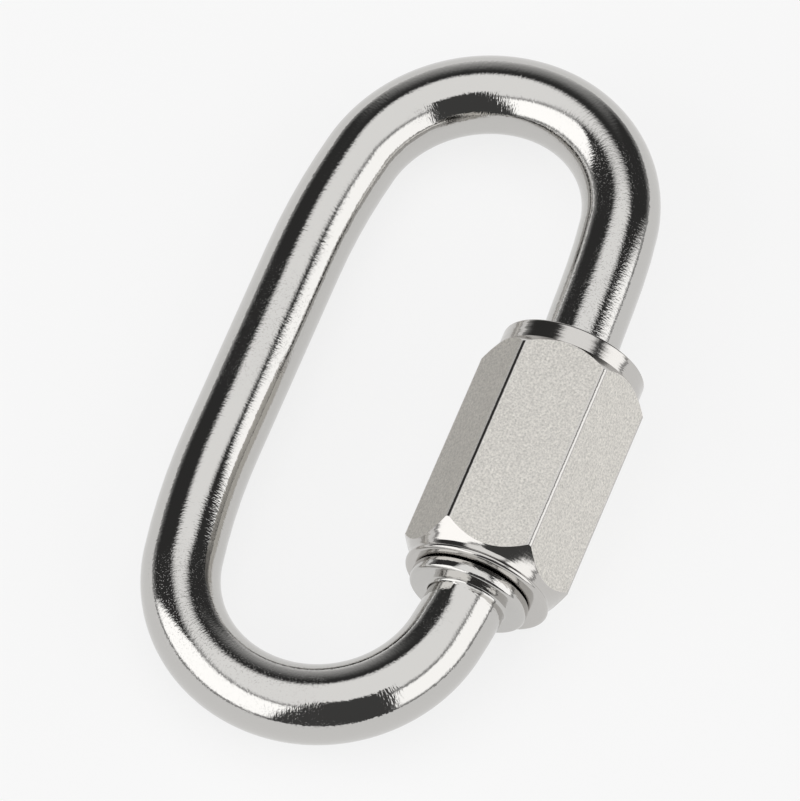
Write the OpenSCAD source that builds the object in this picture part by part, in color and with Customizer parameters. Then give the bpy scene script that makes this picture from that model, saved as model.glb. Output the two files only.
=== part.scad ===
// Chain quick link: an oval of round stainless bar with a gate in one long
// side, closed by a long hexagonal sleeve nut. The link lies at rest on the
// nut's lower flat and on its far arm. The long axis is X, the nut is on the
// -Y side, Z is up, and the origin is under the middle of the whole link.

/* [Bar] */
// Diameter of the round bar
bar_d = 5.8; // [5.5:0.1:6.2]
// Overall length of the link
link_l = 58.05; // [55:0.05:63]
// Nut's axis to the line through the tips of both bows
nut_arm_w = 10.6; // [10.4:0.05:11.2]
// Far arm's axis to the line through the tips of both bows
far_arm_w = 11.25; // [11:0.05:12.3]
// Radius of the bar's middle at the upper bow's tip, on the nut's side
nut_tip_r = 9.9; // [9.3:0.05:10.2]
// Angle that the upper shoulder turns through before the tip, on the nut's side
nut_turn = 9.3; // [9:0.1:20]
// Radius of the bar's middle at a bow's tip, on the far side
far_tip_r = 10.55; // [9.8:0.05:10.8]
// Angle that a far shoulder turns through before the tip
far_turn = 10.6; // [8:0.1:16]
// Radius of the bar's middle at the lower bow's tip, on the nut's side
low_tip_r = 10.1; // [9.6:0.05:10.2]
// Angle that the lower shoulder turns through before the tip, on the nut's side
low_turn = 9.7; // [9:0.1:14]

/* [Gate] */
// Lower end of the closed nut, from the middle of the link
seat_x = 13.25; // [12:0.05:14.2]
// Length of the threaded stub that stands on the stop collar
stub_l = 3; // [2:0.1:4]
// Clear length between the two threaded ends
gate_gap = 6.3; // [5:0.1:6.8]
// Depth of the flat bevel round each threaded end
end_bevel = 0.6; // [0.2:0.1:1]

/* [Stop collar] */
// Diameter of the stop collar forged on the bar
collar_d = 8.9; // [8:0.1:10]
// Height of the stop collar along the bar
collar_h = 1; // [0.95:0.05:1.6]
// How far the stop collar's middle lies inwards of the stub's axis
collar_in = 0.3; // [0:0.05:0.4]
// Rounding of the stop collar's rim on the nut's side
seat_round = 0.2; // [0.05:0.05:0.25]
// Rounding of the stop collar's rim on the bow's side
collar_round = 0.45; // [0.1:0.05:0.45]
// Radius of the fillet between the stop collar and the bar
collar_fillet = 0.4; // [0.3:0.05:0.5]

/* [Sleeve nut] */
// Width of the nut across its flats
nut_af = 11; // [10:0.1:12.5]
// Length of the nut
nut_l = 19.75; // [18:0.05:20.5]
// Diameter of the turned collar at each end of the nut
lip_d = 10.9; // [9.5:0.1:10.9]
// Height of the upper turned collar
top_lip_h = 1.45; // [1:0.05:3]
// Axial length of the bevel from the upper collar to the corners
top_bevel = 1.05; // [0.4:0.05:1.5]
// Height of the lower turned collar
low_lip_h = 0.6; // [0.5:0.05:1.5]
// Radius of the round groove turned above the lower collar
groove_r = 0.25; // [0.15:0.05:0.5]
// Axial length of the bevel from the groove to the corners
low_bevel = 1.15; // [0.5:0.05:1.6]
// Rounding of the nut's outer end edges
lip_round = 0.3; // [0.1:0.05:0.45]
// Length of the nut's threaded bore, from its lower end
nut_thread_l = 11; // [10:0.1:12]
// Diameter of the plain bore that runs over the bar
plain_bore_d = 7; // [6.9:0.05:7.5]
// Depth of the bevel at the mouth of each bore
mouth_bevel = 0.5; // [0.2:0.05:0.8]

/* [Hidden] */
$fn = 96;
// Radial clearance of the nut's threaded bore on the thread
thread_clear = 0.05;
// How far one shape reaches past or into another that it cuts or joins
over = 1;
// How far the stop collar's fillet sinks into the bar
sink = 0.1;
// Step of a coarse move
grid = 0.01;
bar_r = bar_d / 2;
collar_r = collar_d / 2;
lip_r = lip_d / 2;
thread_bore_r = bar_r + thread_clear;
plain_bore_r = plain_bore_d / 2;
nut_af_r = nut_af / 2;
nut_corner_r = nut_af / sqrt(3);
tip_x = link_l / 2 - bar_r;
stub_end_x = -seat_x + stub_l;
arm_end_x = stub_end_x + gate_gap;
upper_x = shoulder_x(nut_arm_w, nut_tip_r, nut_turn);
// The lower shoulder's arc is centred here, and its bar leans inwards already
// where it leaves the middle of the stop collar
low_r = shoulder_r(nut_arm_w, low_tip_r, low_turn);
low_x = shoulder_x(nut_arm_w, low_tip_r, low_turn);
collar_mid_x = seat_x + collar_h / 2;
low_lean = asin((collar_mid_x - low_x) / low_r);
// The link leans about X until the nut's flat and the far arm both lie on Z = 0
arm_span = nut_arm_w + far_arm_w;
lean = asin((nut_af_r - bar_r) / arm_span);
nut_axis_y = -(arm_span * cos(lean) + bar_r - nut_corner_r) / 2;
nut_axis_z = nut_af_r;

// Moves in two steps, so that the small rest of a long number keeps its digits
module shift(place) {
    coarse = [for (c = place) round(c / grid) * grid];
    translate(coarse) translate(place - coarse) children();
}

// Round bar bent about Z through an angle, in the plane of the link
module bend(bend_r, start, angle) {
    rotate_extrude(angle = angle, start = start)
        shift([bend_r, 0, 0]) circle(r = bar_r);
}

// Radius of the shoulder between a straight arm and a bow's tip
function shoulder_r(w, tip_r, turn) = (w - tip_r * cos(turn)) / (1 - cos(turn));
// Where the arm ends and the shoulder starts, from the middle of the link
function shoulder_x(w, tip_r, turn) =
    tip_x - tip_r * (1 - sin(turn)) - shoulder_r(w, tip_r, turn) * sin(turn);

// Quarter of a bow: a wide shoulder from the arm, then the tip's own radius. The
// shoulder's bar may already lean inwards where it starts.
module bow_quarter(w, tip_r, turn, lean_in = 0) {
    big_r = shoulder_r(w, tip_r, turn);
    shift([shoulder_x(w, tip_r, turn), w - big_r, 0]) bend(big_r, 90 - turn, turn - lean_in);
    shift([tip_x - tip_r, 0, 0]) bend(tip_r, 0, 90 - turn);
}

// Straight bar from (x, y) towards the middle of the link
module arm(x, y, run) {
    shift([x, y, 0]) rotate([0, -90, 0]) cylinder(r = bar_r, h = run);
}

// Straight bar from (x, y) to its bevelled free end, turned in one piece
module free_arm(x, y, run) {
    shift([x, y, 0]) rotate([0, -90, 0]) rotate_extrude()
        polygon([[0, 0], [bar_r, 0], [bar_r, run - end_bevel],
            [bar_r - end_bevel, run], [0, run]]);
}

// Half section of the stop collar, with both its rims rounded
module collar_section() {
    square([collar_r - collar_round, collar_h]);
    square([collar_r - seat_round, collar_h - collar_round]);
    translate([0, seat_round]) square([collar_r, collar_h - seat_round - collar_round]);
    translate([collar_r - seat_round, seat_round]) circle(r = seat_round);
    translate([collar_r - collar_round, collar_h - collar_round]) circle(r = collar_round);
}

// Half section of the fillet between the collar's lower face, at 0, and the bar
module fillet_section() {
    rim_r = bar_r - sink + collar_fillet;
    difference() {
        translate([0, -collar_h / 2]) square([rim_r, collar_h / 2 + collar_fillet]);
        translate([rim_r, collar_fillet]) circle(r = collar_fillet);
    }
}

// Stop collar, square to the stub, with a fillet that follows the leaning bar
module stop_collar() {
    translate([seat_x, nut_arm_w - collar_in, 0]) rotate([0, 90, 0])
        rotate_extrude() collar_section();
    translate([low_x, nut_arm_w - low_r, 0]) rotate([0, 0, -low_lean])
        translate([collar_h / 2, low_r, 0]) rotate([0, 90, 0])
            rotate_extrude() fillet_section();
}

// Moves what is drawn in the link's own plane to where the link lies
module lying() {
    translate([0, nut_axis_y, nut_axis_z]) rotate([-lean, 0, 0])
        translate([0, nut_arm_w, 0]) children();
}

// Far half of a bow, with half of the far arm
module far_half() {
    bow_quarter(far_arm_w, far_tip_r, far_turn);
    far_x = shoulder_x(far_arm_w, far_tip_r, far_turn);
    arm(far_x, far_arm_w, far_x + over);
}

// Upper bow and upper arm, whose threaded end is one side of the gate
module upper_half() {
    far_half();
    mirror([0, 1, 0]) {
        bow_quarter(nut_arm_w, nut_tip_r, nut_turn);
        free_arm(upper_x, nut_arm_w, upper_x - arm_end_x);
    }
}

// Lower bow and the threaded stub on its stop collar, drawn towards +X
module lower_half() {
    far_half();
    mirror([0, 1, 0]) {
        bow_quarter(nut_arm_w, low_tip_r, low_turn, low_lean);
        stop_collar();
        free_arm(collar_mid_x, nut_arm_w, collar_mid_x + stub_end_x);
    }
}

module link_body() {
    color("lightsteelblue") lying() {
        upper_half();
        mirror([1, 0, 0]) lower_half();
    }
}

// Half section of the nut's turned outside, which trims the hexagon
module nut_turning() {
    groove_mid = low_lip_h + groove_r;
    low_cone = groove_mid + groove_r;
    low_corner = low_cone + low_bevel;
    high_corner = nut_l - top_lip_h - top_bevel;
    top_lip_low = nut_l - top_lip_h;
    difference() {
        translate([0, lip_round]) square([lip_r, low_cone - lip_round]);
        translate([lip_r, groove_mid]) circle(r = groove_r);
    }
    square([lip_r - lip_round, low_lip_h]);
    translate([lip_r - lip_round, lip_round]) circle(r = lip_round);
    polygon([[0, low_cone], [lip_r, low_cone], [nut_corner_r, low_corner],
        [nut_corner_r, high_corner], [lip_r, top_lip_low], [0, top_lip_low]]);
    translate([0, top_lip_low]) square([lip_r, top_lip_h - lip_round]);
    translate([0, top_lip_low]) square([lip_r - lip_round, top_lip_h]);
    translate([lip_r - lip_round, nut_l - lip_round]) circle(r = lip_round);
}

// Hexagonal bar with two flats level, cut to the turned outline
module nut_outside() {
    intersection() {
        rotate_extrude() nut_turning();
        rotate([0, 0, 30]) cylinder(r = nut_corner_r, h = nut_l, $fn = 6);
    }
}

module nut_bores() {
    translate([0, 0, -over]) cylinder(r = thread_bore_r, h = nut_l + 2 * over);
    translate([0, 0, nut_thread_l])
        cylinder(r = plain_bore_r, h = nut_l - nut_thread_l + over);
    translate([0, 0, -over])
        cylinder(r1 = thread_bore_r + mouth_bevel + over, r2 = thread_bore_r, h = mouth_bevel + over);
    translate([0, 0, nut_l - mouth_bevel])
        cylinder(r1 = plain_bore_r, r2 = plain_bore_r + mouth_bevel + over, h = mouth_bevel + over);
}

module sleeve_nut() {
    color("silver") translate([-seat_x, nut_axis_y, nut_axis_z]) rotate([0, 90, 0])
        difference() {
            nut_outside();
            nut_bores();
        }
}

link_body();
sleeve_nut();
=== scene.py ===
# Chain quick link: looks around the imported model.
# The link lies on the nut's lower flat and its far arm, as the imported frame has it.
import math

import bmesh
import bpy
from mathutils import Matrix, Vector


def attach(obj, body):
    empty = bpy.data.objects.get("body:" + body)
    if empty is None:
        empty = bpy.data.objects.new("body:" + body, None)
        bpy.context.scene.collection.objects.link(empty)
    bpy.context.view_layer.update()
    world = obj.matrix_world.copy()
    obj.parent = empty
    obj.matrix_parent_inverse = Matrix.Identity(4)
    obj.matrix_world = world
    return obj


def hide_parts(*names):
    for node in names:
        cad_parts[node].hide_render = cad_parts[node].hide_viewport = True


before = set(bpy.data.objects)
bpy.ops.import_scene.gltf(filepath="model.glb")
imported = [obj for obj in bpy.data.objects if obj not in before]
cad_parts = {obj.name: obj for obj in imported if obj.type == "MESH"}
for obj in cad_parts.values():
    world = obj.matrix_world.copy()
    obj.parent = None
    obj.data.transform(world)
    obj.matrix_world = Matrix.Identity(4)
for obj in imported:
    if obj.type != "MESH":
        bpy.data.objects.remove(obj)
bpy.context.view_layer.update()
mm = 0.001
scene = bpy.context.scene
scene.view_settings.view_transform = "Standard"
print("stage: frame loaded")

# Sizes that both pieces follow, in millimetres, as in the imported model.
# Shapes are modelled in millimetres, with the long axis along X.
link = {
    "length": 58.05,
    "barR": 2.9,
    "nutArm": 10.6,        # nut's axis to the line through the bows' tips
    "farArm": 11.25,       # far arm's axis to the same line
    "seatX": 13.25,        # lower end of the closed nut, from the middle
    "acrossFlats": 11.0,   # the nut's spanner size
}
thread = {
    "pitch": 1.0,
    "crestR": 2.9, "crestFlat": 0.14,
    "rootR": 2.38, "rootFlat": 0.24,
    "endBevel": 0.6,
    "ridgeTopR": 2.46, "ridgeTopFlat": 0.2,       # the nut's own thread
    "ridgeBaseR": 3.1, "ridgeBaseFlat": 0.92,
    "sidesPerTurn": 48,
}

# Where the link lies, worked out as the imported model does
tipX = link["length"] / 2 - link["barR"]
armSpan = link["nutArm"] + link["farArm"]
flatR = link["acrossFlats"] / 2
cornerR = link["acrossFlats"] / math.sqrt(3)
lean = math.asin((flatR - link["barR"]) / armSpan)
nutAxisY = -(armSpan * math.cos(lean) + link["barR"] - cornerR) / 2
nutAxisZ = flatR
lyingMatrix = (Matrix.Translation((0, nutAxisY, nutAxisZ)) @ Matrix.Rotation(-lean, 4, "X")
               @ Matrix.Translation((0, link["nutArm"], 0)))

# How near points count as one, or as lying on a cutting plane or a ring
near = {"stud": 0.001, "nut": 0.0001, "sliver": 0.0005, "plane": 0.00001, "ring": 0.0001}


def edgesOf(geom):
    return [item for item in geom if isinstance(item, bmesh.types.BMEdge)]


def vertsOf(geom):
    return [item for item in geom if isinstance(item, bmesh.types.BMVert)]


def smoothStep(low, high, value):
    share = min(1, max(0, (value - low) / (high - low)))
    return share * share * (3 - 2 * share)


def arcPoints(centreX, centreR, radius, start, end, steps):
    # points on an arc between two angles in degrees
    angles = [math.radians(start + (end - start) * step / steps) for step in range(steps + 1)]
    return [(centreX + radius * math.cos(angle), centreR + radius * math.sin(angle)) for angle in angles]


def turnOutline(bm, points, axisY, sides, closed):
    # turns an outline of (x, radius) points once round an axis along X
    verts = [bm.verts.new((x, axisY, radius)) for x, radius in points]
    following = verts[1:] + verts[:1] if closed else verts[1:]
    edges = [bm.edges.new(pair) for pair in zip(verts, following)]
    bmesh.ops.spin(bm, geom=verts + edges, cent=(0, axisY, 0), axis=(1, 0, 0), angle=math.tau,
                   steps=sides, use_merge=True)


def wind(bm, geom, turns):
    # winds a section round X along the thread's pitch
    perTurn = thread["sidesPerTurn"]
    bmesh.ops.spin(bm, geom=geom, cent=(0, 0, 0), axis=(1, 0, 0), dvec=(thread["pitch"] / perTurn, 0, 0),
                   angle=math.tau * turns, steps=perTurn * turns, use_merge=False)


def cutAndCap(bm, place, outwards):
    # cuts away what lies past a plane, closes the cut and returns the new faces
    cut = bmesh.ops.bisect_plane(bm, geom=bm.verts[:] + bm.edges[:] + bm.faces[:],
                                 dist=near["plane"], plane_co=place, plane_no=outwards, clear_outer=True)
    return bmesh.ops.contextual_create(bm, geom=edgesOf(cut["geom_cut"]))["faces"]


def scaleRound(vert, radius, wanted):
    # moves a vertex nearer to or further from the X axis
    vert.co.y *= wanted / radius
    vert.co.z *= wanted / radius


def addTo(bm, own):
    # adds a shape that was made by itself
    own.normal_update()
    bmesh.ops.recalc_face_normals(own, faces=own.faces)
    part = bpy.data.meshes.new("part")
    own.to_mesh(part)
    own.free()
    bm.from_mesh(part)
    bpy.data.meshes.remove(part)


def finishMesh(bm, name, materials, sharpDegrees, flatWeight=0):
    # scales millimetres to metres and makes the object
    bmesh.ops.scale(bm, vec=(mm, mm, mm), verts=bm.verts)
    mesh = bpy.data.meshes.new(name)
    bm.to_mesh(mesh)
    bm.free()
    for polygon in mesh.polygons:
        polygon.use_smooth = True
    mesh.set_sharp_from_angle(angle=math.radians(sharpDegrees))
    piece = bpy.data.objects.new(name, mesh)
    scene.collection.objects.link(piece)
    for material in materials:
        mesh.materials.append(material)
    if flatWeight:
        keepFlat = piece.modifiers.new("keepFlat", "WEIGHTED_NORMAL")
        keepFlat.keep_sharp = True
        keepFlat.weight = flatWeight
    return piece


# The bar in millimetres and degrees: each quarter of a bow is a shoulder, then the tip's own radius
bar = {
    "nutTipR": 9.9, "nutTurn": 9.3,
    "farTipR": 10.55, "farTurn": 10.6,
    "lowTipR": 10.1, "lowTurn": 9.7,
    "stubLength": 3.0,
    "gateGap": 6.3,
    "armPlainX": 6.5,      # where the upper arm's thread ends
    "stubInside": 0.6, "threadInside": 0.4,         # how far the threaded ends reach into the plain bar
    "armPull": 0.18,       # how far the upper arm is bent inwards above the nut
    "pullRise": (5.7, 9.2), "pullFade": (10, 18),   # where along X that bend grows and fades
    "sides": 72,
    "arcStep": 2.0,
    "straightStep": 1.5,
    "patternUnit": 10,     # millimetres to one unit of the pattern's coordinates
    "sideMiss": 4,         # how much more a miss beside a stretch counts than one past its end
    "sharp": 30,
}
collar = {
    "radius": 4.45, "height": 1.08, "seatRim": 0.15, "rim": 0.3,
    "play": 0.1,           # gap that is left at the nut's seat
    "inwards": 0.3,        # its middle lies off the stub's axis
    "fillet": 0.25, "filletR": 2.93,
    "seatHoleR": 1.5,      # the seat's face starts inside the stub
    "support": 0.05,       # a loop that holds the shading of the seat's face
    "bridgeGap": 0.12,     # from the fillet to the bar's last full ring
    "bridgeCuts": 2,
    "rimSteps": (4, 8, 6),       # seat's rim, lower rim, fillet
}


def shoulder(width, tipR, turnDegrees):
    # radius of a shoulder arc, and where it leaves the straight arm
    turn = math.radians(turnDegrees)
    radius = (width - tipR * math.cos(turn)) / (1 - math.cos(turn))
    startX = tipX - tipR * (1 - math.sin(turn)) - radius * math.sin(turn)
    return radius, startX


nutShoulderR, upperX = shoulder(link["nutArm"], bar["nutTipR"], bar["nutTurn"])
farShoulderR, farX = shoulder(link["farArm"], bar["farTipR"], bar["farTurn"])
lowShoulderR, lowX = shoulder(link["nutArm"], bar["lowTipR"], bar["lowTurn"])
stubEndX = -link["seatX"] + bar["stubLength"]
armEndX = stubEndX + bar["gateGap"]
barEndX = link["seatX"] + collar["height"] + collar["fillet"] + collar["bridgeGap"]
lowLean = math.degrees(math.asin((barEndX - lowX) / lowShoulderR))


def barStretches():
    # the bar's way round the link: each stretch is a straight run or an arc, all turning left
    arm, far = link["nutArm"], link["farArm"]
    nutTip, farTip, lowTip = bar["nutTipR"], bar["farTipR"], bar["lowTipR"]
    nutTurn, farTurn, lowTurn = bar["nutTurn"], bar["farTurn"], bar["lowTurn"]
    return [
        ("run", (armEndX, -arm), upperX - armEndX),
        ("arc", (upperX, -arm + nutShoulderR), nutShoulderR, -90, nutTurn),
        ("arc", (tipX - nutTip, 0), nutTip, -90 + nutTurn, 90 - nutTurn),
        ("arc", (tipX - farTip, 0), farTip, 0, 90 - farTurn),
        ("arc", (farX, far - farShoulderR), farShoulderR, 90 - farTurn, farTurn),
        ("run", (farX, far), -2 * farX),
        ("arc", (-farX, far - farShoulderR), farShoulderR, 90, farTurn),
        ("arc", (-tipX + farTip, 0), farTip, 90 + farTurn, 90 - farTurn),
        ("arc", (-tipX + lowTip, 0), lowTip, 180, 90 - lowTurn),
        ("arc", (-lowX, -arm + lowShoulderR), lowShoulderR, 270 - lowTurn, lowTurn - lowLean),
    ]


def straightened(place, stretches):
    # where a point of the bar would lie if the bar were straight: along, outwards, up
    best = None
    along = 0.0
    for stretch in stretches:
        if stretch[0] == "run":
            (x, y), run = stretch[1], stretch[2]
            way = 1 if run > 0 else -1
            step, side, size = (place.x - x) * way, (place.y - y) * -way, abs(run)
        else:
            (x, y), radius, start, turn = stretch[1:]
            angle = math.degrees(math.atan2(place.y - y, place.x - x))
            angle = (angle - start + 180) % 360 - 180
            step, size = math.radians(angle) * radius, math.radians(turn) * radius
            side = math.hypot(place.x - x, place.y - y) - radius
        miss = max(0, -step, step - size) + max(0, abs(side) - link["barR"]) * bar["sideMiss"]
        if best is None or miss < best[0]:
            best = (miss, (along + step, side, place.z))
        along += size
    return best[1]


def addStud(bm, lowX, highX, bevelLow):
    # a threaded stretch of bar between two planes, bevelled at its lower or upper end
    pitch, rootR, crestR = thread["pitch"], thread["rootR"], thread["crestR"]
    flank = (pitch - thread["crestFlat"] - thread["rootFlat"]) / 2
    firstX = math.floor(lowX) - 2 * pitch
    turns = math.ceil(highX - firstX) + 2
    rise = [(0, rootR), (thread["rootFlat"], rootR), (thread["rootFlat"] + flank, crestR),
            (pitch - flank, crestR), (pitch, rootR)]
    own = bmesh.new()
    verts = [own.verts.new((firstX + x - thread["rootFlat"] / 2, 0, -radius)) for x, radius in rise]
    edges = [own.edges.new(pair) for pair in zip(verts, verts[1:])]
    wind(own, verts + edges, turns)
    bmesh.ops.remove_doubles(own, verts=own.verts, dist=near["stud"])
    for planeX, way in ((lowX, -1), (highX, 1)):
        cutAndCap(own, (planeX, 0, 0), (way, 0, 0))
    endX, way = (lowX, 1) if bevelLow else (highX, -1)
    for vert in own.verts:
        limit = crestR - thread["endBevel"] + max(0, (vert.co.x - endX) * way)
        radius = math.hypot(vert.co.y, vert.co.z)
        if radius > limit:
            scaleRound(vert, radius, limit)
    bmesh.ops.translate(own, vec=(0, -link["nutArm"], 0), verts=own.verts)
    addTo(bm, own)


def addCollar(bm):
    # stop collar turned a little inwards of the stub's axis; returns where its fillet ends
    rim, seatRim, radius, fillet = (collar[name] for name in ("rim", "seatRim", "radius", "fillet"))
    seatSteps, lowSteps, filletSteps = collar["rimSteps"]
    seatX = -link["seatX"] - collar["play"]
    lowFace = -link["seatX"] - collar["height"]
    outline = [(seatX, collar["seatHoleR"]), (seatX, radius - seatRim - collar["support"])]
    outline += arcPoints(seatX - seatRim, radius - seatRim, seatRim, 0, 90, seatSteps)
    outline += arcPoints(lowFace + rim, radius - rim, rim, 90, 180, lowSteps)
    outline += arcPoints(lowFace - fillet, collar["filletR"] + fillet, fillet, 0, -90, filletSteps)
    turnOutline(bm, outline, collar["inwards"] - link["nutArm"], bar["sides"], closed=False)
    return lowFace - fillet


def sweepBar(bm, stretches):
    # draws the bar from the upper arm's thread round to the stop collar; returns its last ring
    squareToX = Matrix.Rotation(math.radians(90), 4, "Y")
    place = Matrix.Translation((bar["armPlainX"], -link["nutArm"], 0)) @ squareToX
    circle = bmesh.ops.create_circle(bm, radius=link["barR"], segments=bar["sides"], matrix=place)
    edges = list(dict.fromkeys(edge for vert in circle["verts"] for edge in vert.link_edges))
    bmesh.ops.contextual_create(bm, geom=edges)
    for stretch in stretches:
        if stretch[0] == "run":
            # the first run is measured from the threaded end, but drawn from where the thread ends
            run = upperX - bar["armPlainX"] if stretch is stretches[0] else stretch[2]
            steps = max(1, round(abs(run) / bar["straightStep"]))
            for step in range(steps):
                made = bmesh.ops.extrude_edge_only(bm, edges=edges)["geom"]
                ends = vertsOf(made)
                bmesh.ops.translate(bm, vec=(run / steps, 0, 0), verts=ends)
                edges = [edge for edge in edgesOf(made) if all(vert in ends for vert in edge.verts)]
        else:
            (x, y), radius, start, turn = stretch[1:]
            verts = list(dict.fromkeys(vert for edge in edges for vert in edge.verts))
            made = bmesh.ops.spin(bm, geom=verts + edges, cent=(x, y, 0), axis=(0, 0, 1),
                                  angle=math.radians(turn), steps=max(2, round(turn / bar["arcStep"])))
            edges = edgesOf(made["geom_last"])
    return edges


def buildLink(material):
    bm = bmesh.new()
    stretches = barStretches()
    barEnd = sweepBar(bm, stretches)
    before = set(bm.edges)
    filletX = addCollar(bm)
    filletEnd = [edge for edge in bm.edges if edge not in before
                 and all(abs(vert.co.x - filletX) < near["ring"] for vert in edge.verts)]
    bridge = bmesh.ops.bridge_loops(bm, edges=barEnd + filletEnd)
    bmesh.ops.subdivide_edges(bm, edges=bridge["edges"], cuts=collar["bridgeCuts"], use_grid_fill=False)
    seatHole = [edge for edge in bm.edges if edge.is_boundary]
    bmesh.ops.holes_fill(bm, edges=seatHole, sides=0)
    bmesh.ops.recalc_face_normals(bm, faces=bm.faces)
    addStud(bm, -link["seatX"] - bar["stubInside"], stubEndX, bevelLow=False)
    addStud(bm, armEndX, bar["armPlainX"] + bar["threadInside"], bevelLow=True)
    # the pattern's coordinates come before the bend, which only the nut's arm has
    layer = bm.verts.layers.float_vector.new("straightBar")
    for vert in bm.verts:
        vert[layer] = Vector(straightened(vert.co, stretches)) / bar["patternUnit"]
        if vert.co.y < 0:
            bend = smoothStep(*bar["pullRise"], vert.co.x) - smoothStep(*bar["pullFade"], vert.co.x)
            vert.co.y += bar["armPull"] * bend
    bmesh.ops.transform(bm, matrix=lyingMatrix, verts=bm.verts)
    return finishMesh(bm, "linkBar", [material], bar["sharp"])


# The nut in millimetres and degrees, measured from its lower end
nut = {
    "length": 19.75,
    "lipR": 5.47, "lipRound": 0.25,
    "beadTurn": 30,        # angle at which the rounded lower lip meets its neck
    "neckR": 5.28, "neckEnd": 0.78, "lowBevel": 1.5,
    "topLip": 1.45, "topBevel": 1.05, "topRound": 0.12,
    "threadR": 2.95, "threadLength": 11.0,
    "ridgeFrom": 0.7, "ridgeShort": 0.5,   # how far its thread keeps from the threaded bore's ends
    "plainR": 3.5, "mouth": 0.5,
    "edgeRound": 0.24,
    "proud": 0.4,          # how far the turned shape stands past the corners before the flats are cut
    "support": 0.03,       # distance of the loops that hold the shading of straight stretches
    "sides": 144, "beadSteps": 10, "topSteps": 4, "edgeSteps": 4,
    "sharp": 24, "flatWeight": 90,
}


def nutOutline():
    # turned outline of the nut from the bore's lower mouth round to its upper mouth
    lip, rounding, topRound = nut["lipR"], nut["lipRound"], nut["topRound"]
    neckR, neckEnd, end = nut["neckR"], nut["neckEnd"], nut["length"]
    tight, mouth = nut["support"], nut["mouth"]
    wide = cornerR + nut["proud"]
    lowRise = (cornerR - neckR) / nut["lowBevel"]
    topRise = (cornerR - lip) / nut["topBevel"]
    topLipX = end - nut["topLip"]
    points = [(mouth, nut["threadR"]), (0, nut["threadR"] + mouth), (0, lip - rounding - tight)]
    points += arcPoints(rounding, lip - rounding, rounding, 180, nut["beadTurn"], nut["beadSteps"])
    neckX = points[-1][0]
    points += [(neckX + tight, neckR), (neckX + 2 * tight, neckR), (neckEnd - tight, neckR)]
    points += [(neckEnd + tight, neckR + tight * lowRise), (neckEnd + (wide - neckR) / lowRise, wide)]
    points += [(topLipX - (wide - lip) / topRise, wide), (topLipX - tight, lip + tight * topRise)]
    points += [(topLipX, lip), (topLipX + tight, lip), (end - topRound - tight, lip)]
    points += arcPoints(end - topRound, lip - topRound, topRound, 90, 0, nut["topSteps"])
    points += [(end, nut["plainR"] + mouth), (end - mouth, nut["plainR"])]
    points += [(nut["threadLength"] + mouth, nut["plainR"]), (nut["threadLength"], nut["threadR"])]
    return points


def addRidge(bm):
    # the nut's own thread, a ridge wound inside its bore in step with the bar's thread
    startX = math.floor(-link["seatX"] + nut["ridgeFrom"]) + 1 + link["seatX"]
    turns = math.floor(nut["threadLength"] - startX - nut["ridgeShort"])
    base, top = thread["ridgeBaseFlat"] / 2, thread["ridgeTopFlat"] / 2
    shape = [(-base, thread["ridgeBaseR"]), (-top, thread["ridgeTopR"]),
             (top, thread["ridgeTopR"]), (base, thread["ridgeBaseR"])]
    own = bmesh.new()
    face = own.faces.new([own.verts.new((startX + x, 0, -radius)) for x, radius in shape])
    wind(own, [face], turns)
    for vert in own.verts:
        # the first and last turn grow out of the bore
        radius = math.hypot(vert.co.y, vert.co.z)
        wound = (vert.co.x - startX) / thread["pitch"]
        inFromEnd = min(wound + base, turns + base - wound)
        if radius < nut["threadR"] and inFromEnd < 1:
            scaleRound(vert, radius, radius + (thread["ridgeBaseR"] - radius) * (1 - max(0, inFromEnd)))
    addTo(bm, own)


def buildNut(flatMaterial, turnedMaterial):
    flatSlot, turnedSlot = 0, 1
    bm = bmesh.new()
    turnOutline(bm, nutOutline(), 0, nut["sides"], closed=True)
    bmesh.ops.remove_doubles(bm, verts=bm.verts, dist=near["nut"])
    bmesh.ops.recalc_face_normals(bm, faces=bm.faces)
    for face in bm.faces:
        face.material_index = turnedSlot
    for side in range(6):
        angle = math.radians(60 * side)
        outwards = Vector((0, math.sin(angle), math.cos(angle)))
        for face in cutAndCap(bm, outwards * flatR, outwards):
            face.material_index = flatSlot
    bmesh.ops.dissolve_degenerate(bm, dist=near["sliver"], edges=bm.edges)
    corners = [edge for edge in bm.edges if len(edge.link_faces) == 2
               and all(face.material_index == flatSlot for face in edge.link_faces)]
    bmesh.ops.bevel(bm, geom=corners, offset=nut["edgeRound"], offset_type="OFFSET", affect="EDGES",
                    segments=nut["edgeSteps"], profile=0.5, material=turnedSlot, clamp_overlap=True)
    addRidge(bm)
    bmesh.ops.translate(bm, vec=(-link["seatX"], nutAxisY, nutAxisZ), verts=bm.verts)
    return finishMesh(bm, "hexSleeve", [flatMaterial, turnedMaterial], nut["sharp"], nut["flatWeight"])


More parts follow.
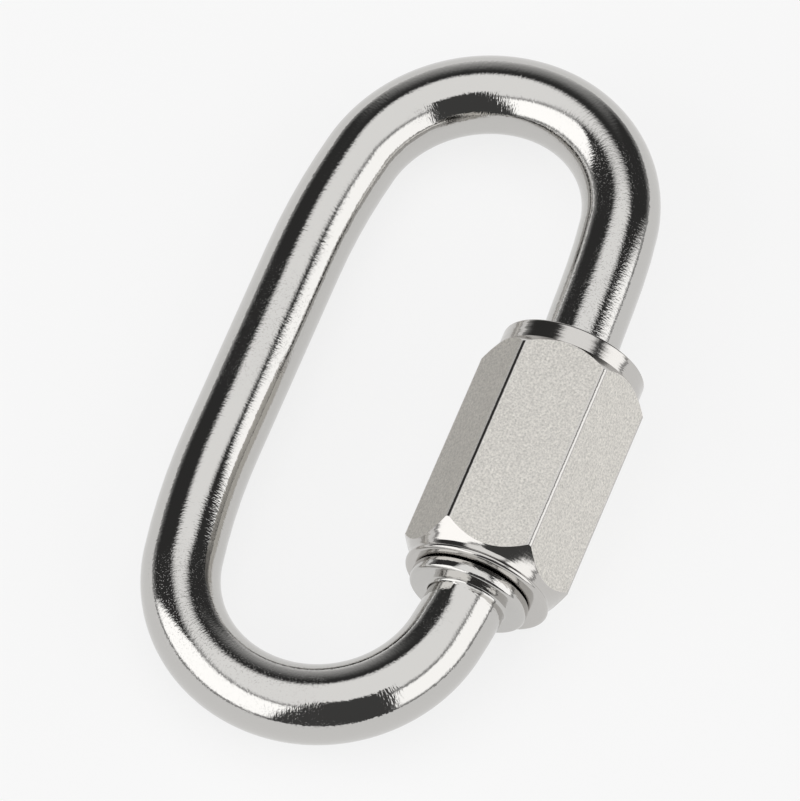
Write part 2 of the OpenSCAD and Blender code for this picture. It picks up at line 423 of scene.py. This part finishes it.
class NodeSheet:
    # short ways to add and join shader nodes
    def __init__(self, tree):
        self.tree = tree
        tree.nodes.clear()

    def add(self, kind, inputs=None, **settings):
        node = self.tree.nodes.new(kind)
        for name, value in settings.items():
            setattr(node, name, value)
        for name, value in (inputs or {}).items():
            if isinstance(value, bpy.types.NodeSocket):
                self.tree.links.new(value, node.inputs[name])
            else:
                node.inputs[name].default_value = value
        return node

    def math(self, operation, first, second=0.0, third=0.0):
        return self.add("ShaderNodeMath", {0: first, 1: second, 2: third}, operation=operation).outputs[0]

    def vector(self, operation, inputs):
        return self.add("ShaderNodeVectorMath", inputs, operation=operation).outputs[0]

    def mix(self, factor, first, second):
        return self.add("ShaderNodeMix", {"Factor": factor, "A": first, "B": second}).outputs["Result"]

    def span(self, value, low, high, outLow=0.0, outHigh=1.0, smooth=True):
        kind = "SMOOTHSTEP" if smooth else "LINEAR"
        return self.add("ShaderNodeMapRange", {0: value, 1: low, 2: high, 3: outLow, 4: outHigh},
                        interpolation_type=kind).outputs[0]

    def band(self, value, low, high, soft):
        # 1 between two values and 0 outside them, with soft edges
        return self.math("MULTIPLY", self.span(value, low - soft, low + soft),
                         self.span(value, high - soft, high + soft, 1.0, 0.0))

    def objectPlace(self):
        return self.add("ShaderNodeTexCoord").outputs["Object"]

    def stretched(self, vector, scale):
        return self.add("ShaderNodeMapping", {"Vector": vector, "Scale": scale}).outputs[0]

    def noise(self, vector, scale, detail=1.0, roughness=0.5):
        return self.add("ShaderNodeTexNoise", {"Vector": vector, "Scale": scale, "Detail": detail,
                                               "Roughness": roughness}).outputs["Fac"]

    def metal(self, colour, roughness, height, depth, relief=None, shading=None):
        # a metal with a fine relief; the last two are further inputs of its bump and its shader
        bump = self.add("ShaderNodeBump", {"Height": height, "Strength": 1.0, "Distance": depth,
                                           **(relief or {})}).outputs[0]
        shader = self.add("ShaderNodeBsdfPrincipled", {"Base Color": colour, "Metallic": 1.0,
                                                       "Roughness": roughness, "Normal": bump,
                                                       **(shading or {})}).outputs[0]
        self.add("ShaderNodeOutputMaterial", {"Surface": shader})


def newMaterial(name):
    material = bpy.data.materials.new(name)
    material.use_nodes = True
    return material, NodeSheet(material.node_tree)


# Finish of the polished bar. Noise scales count along the straightened bar, for each centimetre.
barFinish = {
    "colour": (0.57, 0.56, 0.543, 1),
    "roughness": 0.06,
    "depth": 0.000004,     # metres that a height of 1 stands for
    "ripple": 2.7, "rippleScale": (76, 26, 26),   # short marks across the bar
    "patchScale": 2.2, "patchSpan": (0.38, 0.62), "patchLow": 0.4,   # where they are faint, and how faint
    "peel": 0.9, "peelScale": 55.0,
    "dents": 0.75, "dentScale": 85.0, "dentSpan": (0.61, 0.69),
    "wornScale": 1.3, "wornSpan": (0.42, 0.62),   # where the dents are
}


def polishedBar():
    finish = barFinish
    material, sheet = newMaterial("polishedBar")
    place = sheet.add("ShaderNodeAttribute", attribute_name="straightBar").outputs["Vector"]
    patchy = sheet.span(sheet.noise(place, finish["patchScale"]), *finish["patchSpan"],
                        finish["patchLow"] * finish["ripple"], finish["ripple"])
    marks = sheet.noise(sheet.stretched(place, finish["rippleScale"]), 1.0)
    ripple = sheet.math("MULTIPLY", marks, patchy)
    peel = sheet.math("MULTIPLY", sheet.noise(place, finish["peelScale"]), finish["peel"])
    worn = sheet.span(sheet.noise(place, finish["wornScale"]), *finish["wornSpan"], 0.0, finish["dents"])
    spots = sheet.span(sheet.noise(place, finish["dentScale"]), *finish["dentSpan"])
    dents = sheet.math("MULTIPLY", spots, worn)
    height = sheet.math("SUBTRACT", sheet.math("ADD", ripple, peel), dents)
    sheet.metal(finish["colour"], finish["roughness"], height, finish["depth"])
    return material


# Finishes of the nut. Noise scales are for each metre.
nutFinish = {
    "flatColour": (0.8, 0.776, 0.73, 1),
    "flatRoughness": 0.42,
    "flatEdgeTint": (0.35, 0.35, 0.35, 1),   # the matt flats darken where they are seen edge on
    "mottle": (0.7, 1.22), "mottleScale": 6200.0, "mottleSpan": (0.3, 0.7),
    "flatGrain": 9000.0, "flatDepth": 0.000006,
    "turnedColour": (0.56, 0.545, 0.525, 1),
    "turnedRoughness": 0.1,
    "turning": 0.2, "turningScale": (9000, 350, 350),   # fine turning marks
    "turnedGrain": 5000.0, "turnedDepth": 0.000003,
}


def mattFlats():
    finish = nutFinish
    material, sheet = newMaterial("mattFlats")
    place = sheet.objectPlace()
    clouds = sheet.noise(place, finish["mottleScale"], detail=3.0, roughness=0.7)
    mottle = sheet.span(clouds, *finish["mottleSpan"], *finish["mottle"], smooth=False)
    colour = sheet.vector("SCALE", {0: finish["flatColour"][:3], "Scale": mottle})
    grain = sheet.noise(place, finish["flatGrain"], detail=2.0, roughness=0.6)
    sheet.metal(colour, finish["flatRoughness"], grain, finish["flatDepth"],
                shading={"Specular Tint": finish["flatEdgeTint"]})
    return material


def turnedEnds():
    finish = nutFinish
    material, sheet = newMaterial("turnedEnds")
    place = sheet.objectPlace()
    # each narrow ring round the nut tilts its own way
    rings = sheet.noise(sheet.stretched(place, finish["turningScale"]), 1.0, detail=2.0, roughness=0.6)
    tilt = sheet.math("MULTIPLY", sheet.math("SUBTRACT", rings, 0.5), finish["turning"])
    normal = sheet.add("ShaderNodeTexCoord").outputs["Normal"]
    tangent = sheet.vector("CROSS_PRODUCT", {0: (1, 0, 0), 1: normal})
    tilted = sheet.vector("ADD", {0: normal, 1: sheet.vector("SCALE", {0: tangent, "Scale": tilt})})
    tilted = sheet.add("ShaderNodeVectorTransform", {0: tilted}, vector_type="NORMAL",
                       convert_from="OBJECT", convert_to="WORLD").outputs[0]
    grain = sheet.noise(place, finish["turnedGrain"], detail=2.0, roughness=0.6)
    sheet.metal(finish["turnedColour"], finish["turnedRoughness"], grain, finish["turnedDepth"],
                relief={"Normal": tilted})
    return material


linkBar = buildLink(polishedBar())
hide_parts("link_body")
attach(linkBar, "link")
print("stage: link bar built")

hexSleeve = buildNut(mattFlats(), turnedEnds())
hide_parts("sleeve_nut")
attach(hexSleeve, "nut")
print("stage: sleeve nut built")

# Studio: a pale floor, a pale ceiling, two soft boxes at the sides and dark gaps between them.
# Angles are in degrees; azimuth runs from +X towards +Y.
studio = {
    "background": 0.9387,
    "floorColour": (0.95, 0.95, 0.95, 1),
    "floorSize": 4.0,      # metres
    "floorShine": 0.985, "floorShare": 0.8, "floorInMetal": 0.72,   # the floor's even tone, and its share
    "ceiling": 1.16, "ceilingEdge": 53, "ceilingSoft": 5,
    "wall": 0.04,
    "horizon": 0.45, "horizonSpan": (-6.0, 14.0),
    # a faintly lit wall behind the upper bow
    "litWall": 0.4, "litAzimuth": 22.0, "litFacing": (0.86, 0.985),
    "litFoot": (-10.0, 0.0), "litTop": (8.0, 44.0),
    "boxes": [
        {"azimuth": (95, 172), "elevation": (6, 49), "level": 1.75, "soft": 3},
        {"azimuth": (233, 305), "elevation": (6, 48), "level": 1.6, "soft": 4},
    ],
    # the gap round the camera, a dark patch that reaches up into the ceiling
    "gap": {"azimuth": (170, 233), "soft": 3, "top": (67.0, 71.0), "level": 0.07},
}


def studioWorld():
    world = bpy.data.worlds.new("studioWorld")
    scene.world = world
    world.use_nodes = True
    sheet = NodeSheet(world.node_tree)
    way = sheet.add("ShaderNodeTexCoord").outputs["Generated"]
    x, y, z = sheet.add("ShaderNodeSeparateXYZ", {0: way}).outputs
    degrees = math.degrees(1)
    azimuth = sheet.math("MULTIPLY", sheet.math("ARCTAN2", y, x), degrees)
    azimuth = sheet.math("FLOORED_MODULO", azimuth, 360.0)
    elevation = sheet.math("MULTIPLY", sheet.math("ARCSINE", z), degrees)
    edge, soft = studio["ceilingEdge"], studio["ceilingSoft"]
    ceiling = sheet.span(elevation, edge - soft, edge + soft, studio["wall"], studio["ceiling"])
    horizon = sheet.span(elevation, *studio["horizonSpan"], studio["horizon"], 0.0)
    light = sheet.math("ADD", ceiling, horizon)
    turned = sheet.math("RADIANS", sheet.math("SUBTRACT", azimuth, studio["litAzimuth"]))
    wall = sheet.math("MULTIPLY", sheet.span(sheet.math("COSINE", turned), *studio["litFacing"]),
                      sheet.span(elevation, *studio["litTop"], studio["litWall"], 0.0))
    wall = sheet.math("MULTIPLY", wall, sheet.span(elevation, *studio["litFoot"]))
    light = sheet.math("ADD", light, wall)
    for box in studio["boxes"]:
        mask = sheet.math("MULTIPLY", sheet.band(azimuth, *box["azimuth"], box["soft"]),
                          sheet.band(elevation, *box["elevation"], box["soft"]))
        light = sheet.mix(mask, light, box["level"])
    gap = studio["gap"]
    mask = sheet.math("MULTIPLY", sheet.band(azimuth, *gap["azimuth"], gap["soft"]),
                      sheet.span(elevation, *gap["top"], 1.0, 0.0))
    light = sheet.mix(mask, light, gap["level"])
    seen = sheet.add("ShaderNodeLightPath").outputs["Is Camera Ray"]
    level = sheet.mix(seen, light, studio["background"])
    shine = sheet.add("ShaderNodeBackground", {"Color": (1, 1, 1, 1), "Strength": level})
    sheet.add("ShaderNodeOutputWorld", {"Surface": shine.outputs[0]})


def paleFloor():
    material, sheet = newMaterial("paleFloor")
    shaded = sheet.add("ShaderNodeBsdfDiffuse", {"Color": studio["floorColour"]}).outputs[0]
    tone = sheet.add("ShaderNodeEmission", {"Strength": studio["floorShine"]}).outputs[0]
    ray = sheet.add("ShaderNodeLightPath").outputs
    inMetal = sheet.math("MAXIMUM", ray["Is Glossy Ray"], ray["Is Transmission Ray"])
    share = sheet.math("MAXIMUM", sheet.math("MULTIPLY", ray["Is Camera Ray"], studio["floorShare"]),
                       sheet.math("MULTIPLY", inMetal, studio["floorInMetal"]))
    mixed = sheet.add("ShaderNodeMixShader", {0: share, 1: shaded, 2: tone}).outputs[0]
    sheet.add("ShaderNodeOutputMaterial", {"Surface": mixed})
    bm = bmesh.new()
    bmesh.ops.create_grid(bm, x_segments=1, y_segments=1, size=studio["floorSize"] / 2)
    mesh = bpy.data.meshes.new("paleFloor")
    bm.to_mesh(mesh)
    bm.free()
    mesh.materials.append(material)
    floor = bpy.data.objects.new("paleFloor", mesh)
    scene.collection.objects.link(floor)


studioWorld()
paleFloor()
print("stage: studio ready")

# The view: long lens, high above the link and a little turned
view = {
    "azimuth": -70.991, "elevation": 63.233, "roll": 2.626,   # degrees
    "aim": (-0.937, 1.483, 5.0), "distance": 723.09,          # millimetres
    "lens": 449.62, "sensor": 36,
    "clip": (0.01, 20),                                       # metres
}


def placeCamera():
    azimuth, elevation, roll = (math.radians(view[name]) for name in ("azimuth", "elevation", "roll"))
    back = Vector((math.sin(azimuth) * math.cos(elevation), -math.cos(azimuth) * math.cos(elevation),
                   math.sin(elevation)))
    level = Vector((math.cos(azimuth), math.sin(azimuth), 0))
    right = level * math.cos(roll) + back.cross(level) * math.sin(roll)
    up = back.cross(right)
    turn = Matrix((right, up, back)).transposed().to_4x4()
    data = bpy.data.cameras.new("camera")
    data.lens = view["lens"]
    data.sensor_width = view["sensor"]
    data.sensor_fit = "HORIZONTAL"
    data.clip_start, data.clip_end = view["clip"]
    camera = bpy.data.objects.new("camera", data)
    camera.matrix_world = Matrix.Translation((Vector(view["aim"]) + back * view["distance"]) * mm) @ turn
    scene.collection.objects.link(camera)
    scene.camera = camera


placeCamera()
